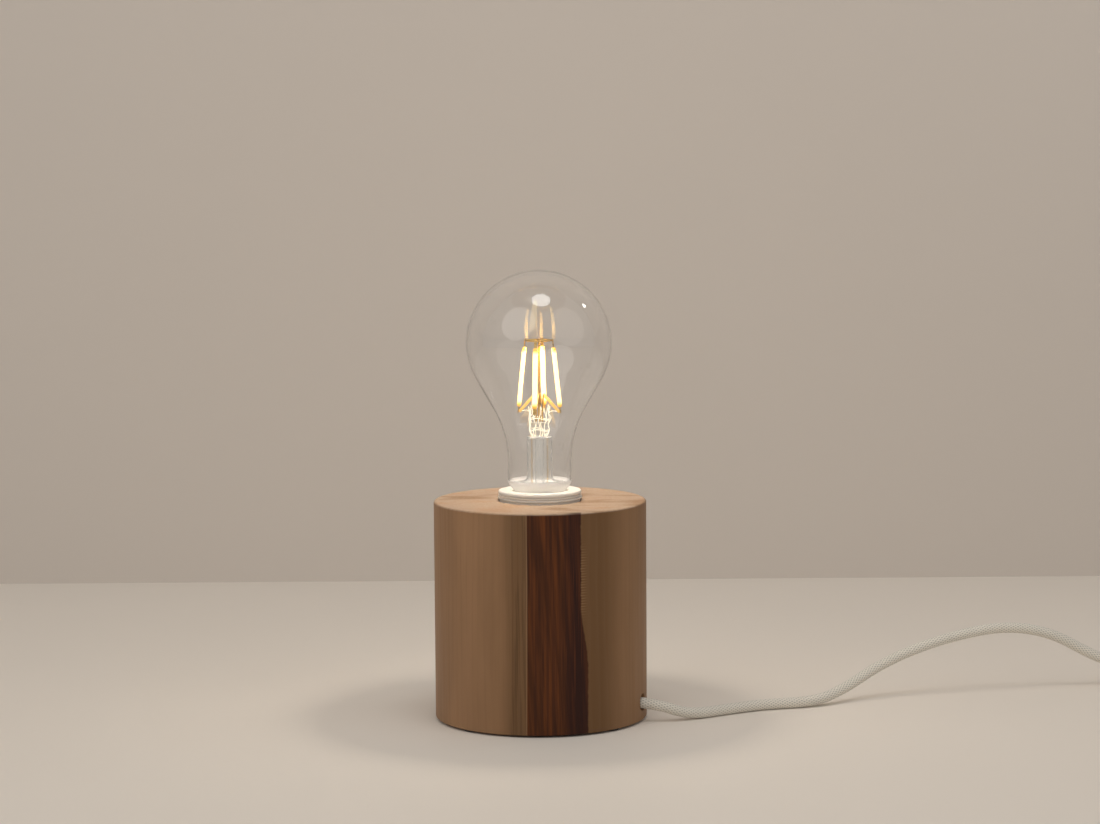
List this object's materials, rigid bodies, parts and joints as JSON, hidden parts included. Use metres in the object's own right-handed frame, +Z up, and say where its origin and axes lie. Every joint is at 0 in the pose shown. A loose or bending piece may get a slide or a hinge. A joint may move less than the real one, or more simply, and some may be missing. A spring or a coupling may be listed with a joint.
{
  "type": "bare bulb table lamp",
  "caption": "Turned wooden cylinder lamp base with a recessed white lampholder, clear filament bulb and white textile cord with rocker switch and plug.",
  "frame": {"origin": "centre of the wooden base's feet, on the table that they stand on", "axes": "+Z up along the turned base and the bulb, -Y towards the viewer, the cord leaves on the +X side"},
  "size_m": [0.4528, 0.1637, 0.2117],
  "materials": {
    "wood": "satin, turned wood with light sapwood sides and a dark heartwood band",
    "foot_rubber": "matt",
    "plate": "matt",
    "steel": "zinc plated",
    "white_plastic": "semi-gloss",
    "contact_brass": "bright",
    "brown_wire": "semi-gloss",
    "blue_wire": "semi-gloss",
    "cap_metal": "bright",
    "black_glass": "gloss",
    "cement": "matt",
    "board": "satin",
    "black_plastic": "satin",
    "clear_glass": "polished, clear",
    "filament": "lit phosphor coating",
    "wire_metal": "bright wire",
    "textile": "white textile braid",
    "paper": "matt paper band"
  },
  "bodies": {
    "base": {"bottom_plate": "plate", "centre_contact": "contact_brass", "coil_tie": "paper", "cord": "textile", "cord_clamp_bar": "white_plastic", "cord_clamp_saddle": "white_plastic", "cord_clamp_screws": "steel", "cord_coil": "textile", "cord_inner": "textile", "cord_link": "textile", "cord_tail": "textile", "feet": "foot_rubber", "fixing_nut": "steel", "fixing_tube": "steel", "fixing_washer": "steel", "holder_core": "white_plastic", "holder_dome": "white_plastic", "holder_skirt": "white_plastic", "plate_screws": "steel", "plug_body": "white_plastic", "plug_pin_sleeves": "black_plastic", "plug_pins": "contact_brass", "plug_relief": "white_plastic", "side_contact": "contact_brass", "switch_housing_bottom": "white_plastic", "switch_housing_top": "white_plastic", "switch_screws": "steel", "switch_terminals": "contact_brass", "terminal_screws": "steel", "wire_live": "brown_wire", "wire_neutral": "blue_wire", "wood_base": "wood"},
    "bulb_carrier": {"cap_contact": "contact_brass", "cap_insulator": "black_glass"},
    "bulb": {"bulb_cap": "cap_metal", "cap_cement": "cement", "driver_board": "board", "driver_parts": "black_plastic", "bulb_glass": "clear_glass", "glass_stem": "clear_glass", "exhaust_tube": "clear_glass", "led_filament_1": "filament", "led_filament_2": "filament", "led_filament_3": "filament", "led_filament_4": "filament", "filament_tabs": "wire_metal", "lead_wires": "wire_metal", "support_arms": "wire_metal", "top_ring": "wire_metal", "centre_post": "wire_metal"},
    "rocker": {"switch_rocker": "white_plastic"}
  },
  "joints": [
    {"name": "bulb_lift", "type": "slide", "parent": "base", "child": "bulb_carrier", "axis": [0, 0, 1], "range_m": [0, 0.0254]},
    {"name": "bulb_turn", "type": "hinge", "parent": "bulb_carrier", "child": "bulb", "pos_m": [0, 0, 0.0816], "axis": [0, 0, 1], "range_deg": [0, 2520]},
    {"name": "rocker_tip", "type": "hinge", "parent": "base", "child": "rocker", "pos_m": [0.332, 0.063, 0.014], "axis": [0, -1, 0], "range_deg": [0, 14]}
  ],
  "couplings": [
    {"joint": "bulb_lift", "follows": "bulb_turn", "m_per_rad": 0.000576}
  ]
}
